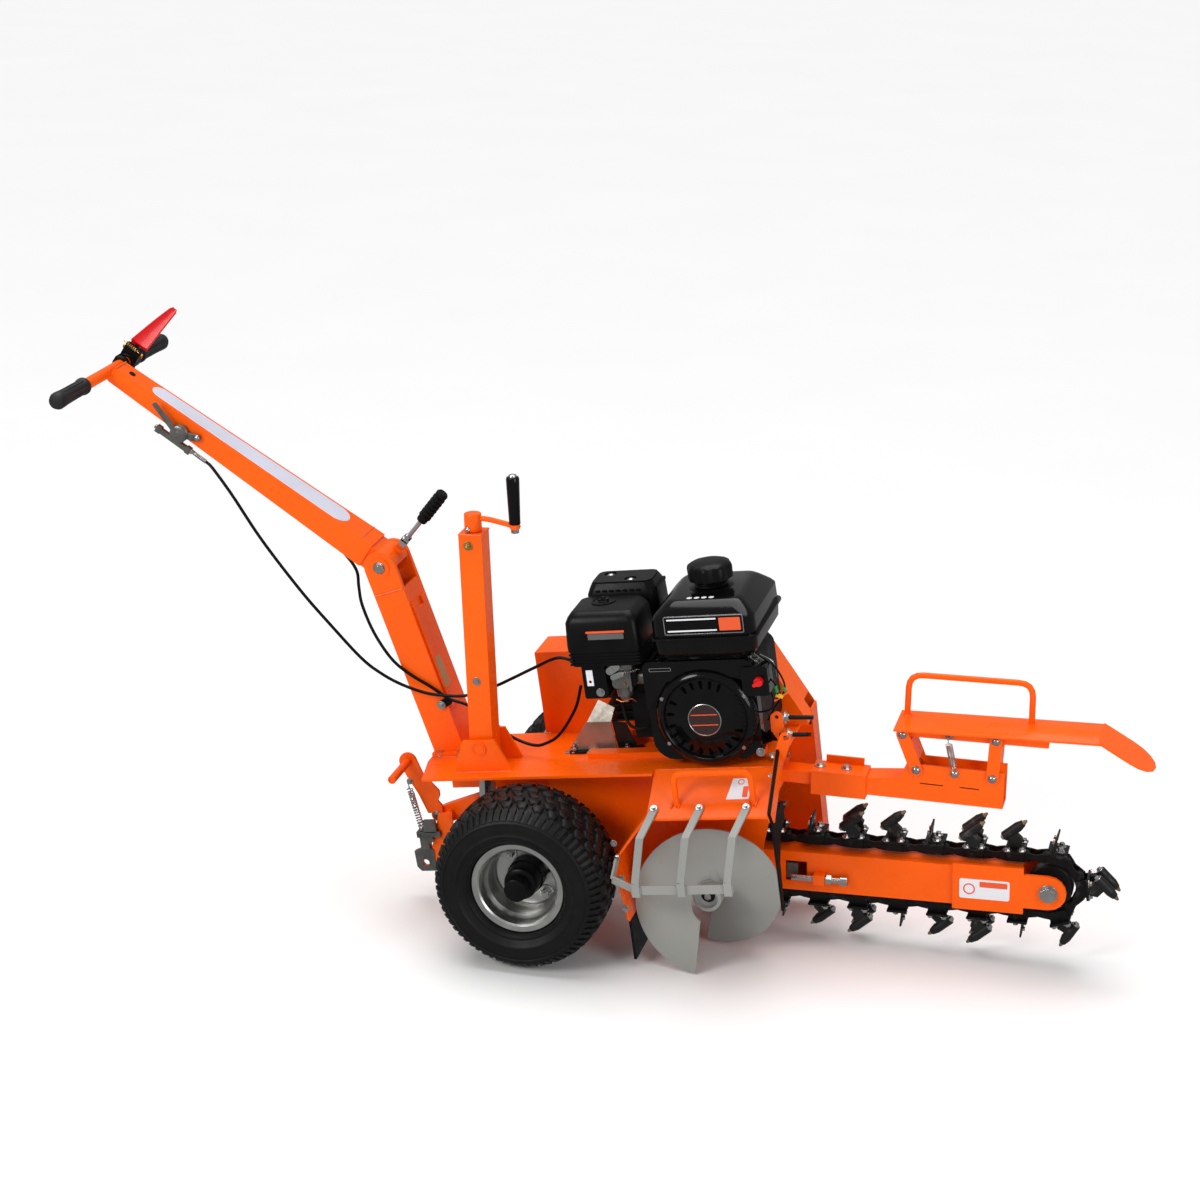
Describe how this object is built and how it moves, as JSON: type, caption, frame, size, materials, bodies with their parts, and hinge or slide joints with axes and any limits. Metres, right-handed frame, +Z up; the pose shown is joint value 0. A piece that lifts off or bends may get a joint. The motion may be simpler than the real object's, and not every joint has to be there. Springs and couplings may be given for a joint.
{
  "type": "walk-behind chain trencher",
  "caption": "Walk-behind chain trencher with a petrol engine, fold-down handle, screw jack, side auger, digging chain on a boom and a sprung skid plate.",
  "frame": {"origin": "middle of the bounding box on the ground plane", "axes": "+X towards the digging boom, +Y the operator's right-hand side, +Z up"},
  "size_m": [2.013, 0.635, 1.0797],
  "materials": {
    "orange_paint": "glossy orange powder coat",
    "black_paint": "glossy black paint on thin pressings",
    "black_casting": "black painted casting",
    "black_plastic": "satin black moulded plastic",
    "rubber": "matte black rubber",
    "tyre_rubber": "matte tyre rubber with turf tread",
    "zinc_steel": "zinc plated steel",
    "grey_paint": "satin grey paint",
    "cast_aluminium": "bare cast and sheet metal",
    "chain_steel": "blackened steel",
    "red_plastic": "glossy red plastic"
  },
  "bodies": {
    "chassis": {"deck": "orange_paint", "undercarriage": "orange_paint", "drive_guard": "orange_paint", "auger_guard": "orange_paint", "auger_cage": "grey_paint", "rear_flap": "rubber", "side_curtain": "rubber", "engine_block": "black_casting", "recoil_housing": "black_paint", "fuel_tank": "black_paint", "air_cleaner": "black_plastic", "carburettor": "black_casting", "muffler": "black_plastic", "heat_shield": "cast_aluminium", "jack_post": "orange_paint", "mast": "orange_paint", "fold_bolt": "zinc_steel", "boom_bar": "orange_paint", "tension_bolt": "zinc_steel", "nose_bolt": "zinc_steel", "digging_chain": "chain_steel", "drive_belt": "rubber", "skid_arm": "orange_paint", "skid_spring": "zinc_steel", "throttle_cable": "black_plastic", "clutch_cable": "black_plastic"},
    "axle_frame": {"swing_frame": "black_casting", "wheel_axle": "zinc_steel", "pedal_spring": "zinc_steel"},
    "wheel_near": {"tyre_near": "tyre_rubber", "rim_near": "zinc_steel", "hub_cap_near": "black_plastic"},
    "wheel_far": {"tyre_far": "tyre_rubber", "rim_far": "zinc_steel", "hub_cap_far": "black_plastic"},
    "pedal": {"foot_pedal": "orange_paint"},
    "ram": {"jack_ram": "zinc_steel"},
    "crank": {"jack_screw": "zinc_steel", "crank_arm": "orange_paint"},
    "crank_handle": {"crank_grip": "black_plastic"},
    "handle": {"handle_beam": "orange_paint", "handle_bar": "orange_paint", "grip_near": "rubber", "grip_far": "rubber", "lever_bracket": "black_plastic", "throttle_body": "cast_aluminium"},
    "latch": {"lock_lever": "zinc_steel"},
    "throttle": {"throttle_lever": "cast_aluminium"},
    "clutch": {"clutch_lever": "red_plastic"},
    "cap": {"fuel_cap": "black_plastic"},
    "switch": {"kill_switch": "red_plastic"},
    "engine_output": {"engine_pulley": "cast_aluminium"},
    "head": {"head_shaft": "zinc_steel", "drive_sprocket": "black_casting", "driven_pulley": "cast_aluminium", "auger": "grey_paint"},
    "idler": {"tip_idler": "black_casting"},
    "skid_front": {"skid_link_front": "orange_paint"},
    "skid_rear": {"skid_link_rear": "orange_paint"},
    "skid": {"skid_plate": "orange_paint"}
  },
  "joints": [
    {"name": "jack_crank", "type": "hinge", "parent": "chassis", "child": "crank", "pos_m": [-0.23918, -0.0975, 0.77669], "axis": [-0.0384, 0, 0.9993], "range_deg": [0, 4680]},
    {"name": "jack_ram_slide", "type": "slide", "parent": "chassis", "child": "ram", "axis": [0.0384, 0, -0.9993], "range_m": [0, 0.0521]},
    {"name": "axle_swing", "type": "hinge", "parent": "chassis", "child": "axle_frame", "pos_m": [0.0336, 0, 0.20429], "axis": [0, -1, 0], "range_deg": [0, 12.01]},
    {"name": "wheel_near_spin", "type": "hinge", "parent": "axle_frame", "child": "wheel_near", "pos_m": [-0.10225, -0.235, 0.165], "axis": [0, 1, 0], "continuous": true},
    {"name": "wheel_far_spin", "type": "hinge", "parent": "axle_frame", "child": "wheel_far", "pos_m": [-0.10225, 0.235, 0.165], "axis": [0, 1, 0], "continuous": true},
    {"name": "pedal_press", "type": "hinge", "parent": "axle_frame", "child": "pedal", "pos_m": [-0.34925, 0, 0.15998], "axis": [0, -1, 0], "range_deg": [0, 25], "stiffness_Nm_per_rad": 6, "springref_deg": -17.19, "deforming": ["pedal_spring"]},
    {"name": "crank_grip_spin", "type": "hinge", "parent": "crank", "child": "crank_handle", "pos_m": [-0.15972, -0.0975, 0.79226], "axis": [-0.0384, 0, 0.9993], "continuous": true},
    {"name": "handle_fold", "type": "hinge", "parent": "chassis", "child": "handle", "pos_m": [-0.44325, 0, 0.669], "axis": [0, 1, 0], "range_deg": [-15, 45], "deforming": ["throttle_cable", "clutch_cable"]},
    {"name": "lock_lever_pull", "type": "hinge", "parent": "handle", "child": "latch", "pos_m": [-0.41299, 0, 0.70303], "axis": [0, -1, 0], "range_deg": [0, 15], "stiffness_Nm_per_rad": 1.5, "springref_deg": -17.19},
    {"name": "throttle_lever_turn", "type": "hinge", "parent": "handle", "child": "throttle", "pos_m": [-0.83929, -0.0425, 0.89901], "axis": [0, -1, 0], "range_deg": [-20, 50]},
    {"name": "clutch_lever_squeeze", "type": "hinge", "parent": "handle", "child": "clutch", "pos_m": [-0.98255, 0.088, 1.03024], "axis": [-0.8406, 0, 0.5417], "range_deg": [0, 20], "stiffness_Nm_per_rad": 2, "springref_deg": -20.05},
    {"name": "fuel_cap_turn", "type": "hinge", "parent": "chassis", "child": "cap", "pos_m": [0.20843, -0.07, 0.71358], "axis": [-0.1392, 0, 0.9903], "range_deg": [0, 90]},
    {"name": "kill_switch_turn", "type": "hinge", "parent": "chassis", "child": "switch", "pos_m": [0.30891, -0.15, 0.55906], "axis": [0, -1, 0], "range_deg": [0, 60]},
    {"name": "head_shaft_spin", "type": "hinge", "parent": "chassis", "child": "head", "pos_m": [0.22775, 0, 0.136], "axis": [0, 1, 0], "continuous": true},
    {"name": "tip_idler_spin", "type": "hinge", "parent": "chassis", "child": "idler", "pos_m": [0.83245, 0, 0.155], "axis": [0, 1, 0], "continuous": true},
    {"name": "engine_pulley_spin", "type": "hinge", "parent": "chassis", "child": "engine_output", "pos_m": [0.2127, 0, 0.47697], "axis": [0, 1, 0], "continuous": true},
    {"name": "skid_front_swing", "type": "hinge", "parent": "chassis", "child": "skid_front", "pos_m": [0.71875, 0, 0.364], "axis": [0, -1, 0], "range_deg": [0, 20], "stiffness_Nm_per_rad": 12, "springref_deg": -17.19, "deforming": ["skid_spring"]},
    {"name": "skid_plate_tilt", "type": "hinge", "parent": "skid_front", "child": "skid", "pos_m": [0.72175, 0, 0.438], "axis": [0, -1, 0], "range_deg": [-16.1, 0]},
    {"name": "skid_rear_swing", "type": "hinge", "parent": "chassis", "child": "skid_rear", "pos_m": [0.57975, 0, 0.366], "axis": [0, -1, 0], "range_deg": [0, 21.9]}
  ],
  "couplings": [
    {"joint": "jack_ram_slide", "follows": "jack_crank", "m_per_rad": 0.0006366},
    {"joint": "axle_swing", "follows": "jack_crank", "ratio": 0.002564},
    {"joint": "tip_idler_spin", "follows": "head_shaft_spin", "ratio": 1},
    {"joint": "engine_pulley_spin", "follows": "head_shaft_spin", "ratio": 2},
    {"joint": "skid_plate_tilt", "follows": "skid_front_swing", "ratio": -0.803},
    {"joint": "skid_rear_swing", "follows": "skid_front_swing", "ratio": 1.09}
  ]
}
